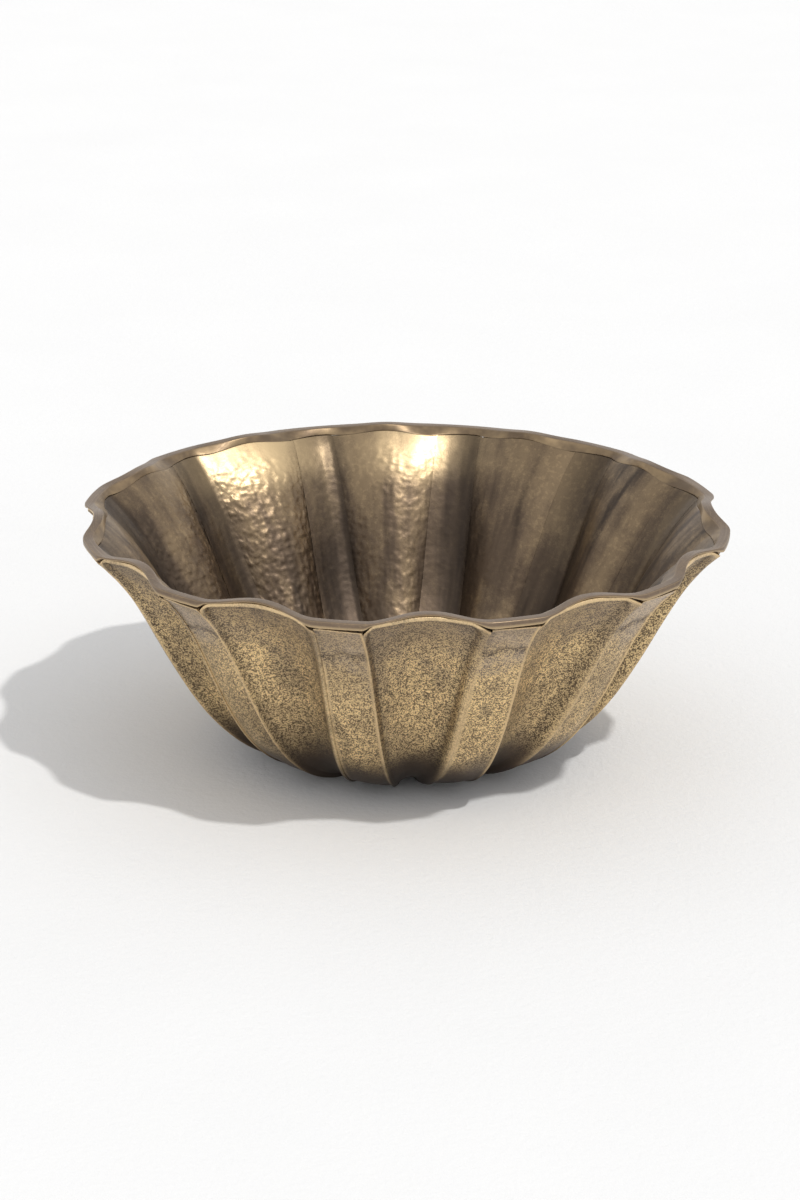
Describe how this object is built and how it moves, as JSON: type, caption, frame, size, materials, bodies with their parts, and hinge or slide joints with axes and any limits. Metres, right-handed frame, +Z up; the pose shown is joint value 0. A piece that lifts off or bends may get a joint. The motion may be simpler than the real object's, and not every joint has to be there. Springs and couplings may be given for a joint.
{
  "type": "urli bowl",
  "caption": "Low open brass bowl with a wall fluted like a lotus, of broad scooped and narrow flat petals under a waved, flat-topped rim.",
  "frame": {"origin": "centre of the foot, on the surface that the bowl stands on", "axes": "+Z up along the bowl's axis; -Y is the front, and +X is to the right seen from the front"},
  "size_m": [0.1986, 0.1986, 0.0768],
  "materials": {
    "broad_petal_brass": "sand-cast grain under a dark brown patina, rubbed gold on the high grain",
    "narrow_petal_brass": "sand-cast grain, rubbed brighter than the broad petals low down and brown near the rim",
    "rim_brass": "ground flat on top, satin, mauve-brown patina with a thin bright edge",
    "base_brass": "plain cast face, dark brown patina"
  },
  "bodies": {
    "root": {"base_disc": "base_brass", "narrow_petal_01": "narrow_petal_brass", "broad_petal_01": "broad_petal_brass", "narrow_petal_02": "narrow_petal_brass", "broad_petal_02": "broad_petal_brass", "narrow_petal_03": "narrow_petal_brass", "broad_petal_03": "broad_petal_brass", "narrow_petal_04": "narrow_petal_brass", "broad_petal_04": "broad_petal_brass", "narrow_petal_05": "narrow_petal_brass", "broad_petal_05": "broad_petal_brass", "narrow_petal_06": "narrow_petal_brass", "broad_petal_06": "broad_petal_brass", "narrow_petal_07": "narrow_petal_brass", "broad_petal_07": "broad_petal_brass", "narrow_petal_08": "narrow_petal_brass", "broad_petal_08": "broad_petal_brass", "narrow_petal_09": "narrow_petal_brass", "broad_petal_09": "broad_petal_brass", "narrow_petal_10": "narrow_petal_brass", "broad_petal_10": "broad_petal_brass", "narrow_petal_11": "narrow_petal_brass", "broad_petal_11": "broad_petal_brass", "narrow_petal_12": "narrow_petal_brass", "broad_petal_12": "broad_petal_brass", "rim_band": "rim_brass"}
  },
  "joints": []
}
